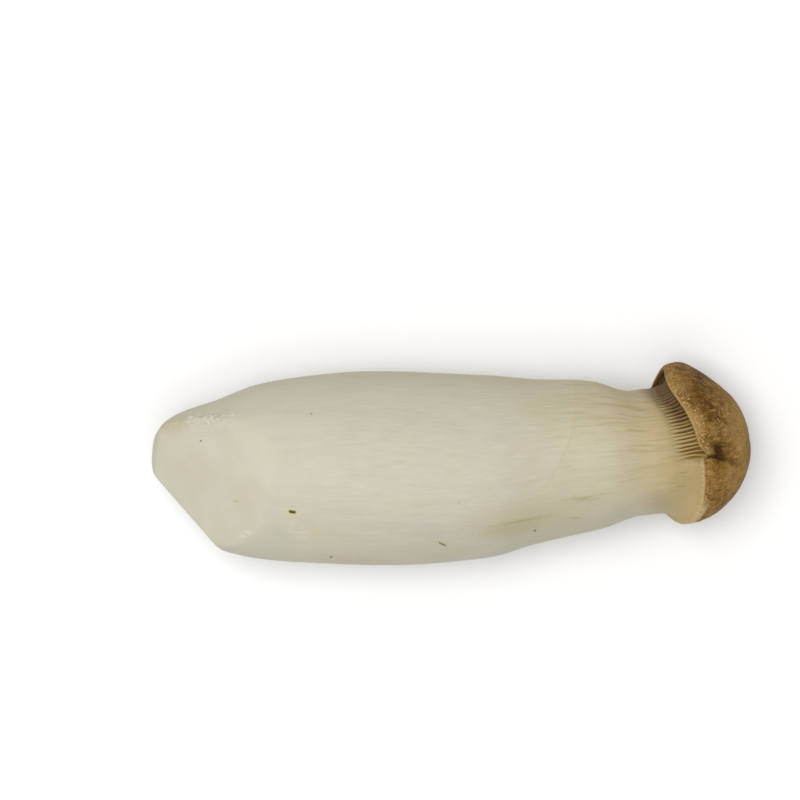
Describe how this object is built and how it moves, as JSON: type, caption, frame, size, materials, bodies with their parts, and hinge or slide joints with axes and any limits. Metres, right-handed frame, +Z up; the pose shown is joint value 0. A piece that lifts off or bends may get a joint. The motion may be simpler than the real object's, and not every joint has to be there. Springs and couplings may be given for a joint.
{
  "type": "king oyster mushroom",
  "caption": "King oyster mushroom lying on its side: thick off-white stem with a knife-trimmed base, a narrower neck with running-down gills and a small domed brown cap.",
  "frame": {"origin": "middle of the bounding box, on the surface that the mushroom lies on", "axes": "+X along the stem from the trimmed base to the cap, +Y across it, +Z up from the surface"},
  "size_m": [0.165, 0.0558, 0.0493],
  "materials": {
    "mushroom_flesh": "matt, silky off-white flesh with fine fibres, a velvety light brown cap skin and tan gills"
  },
  "bodies": {
    "root": {"mushroom": "mushroom_flesh"}
  },
  "joints": []
}
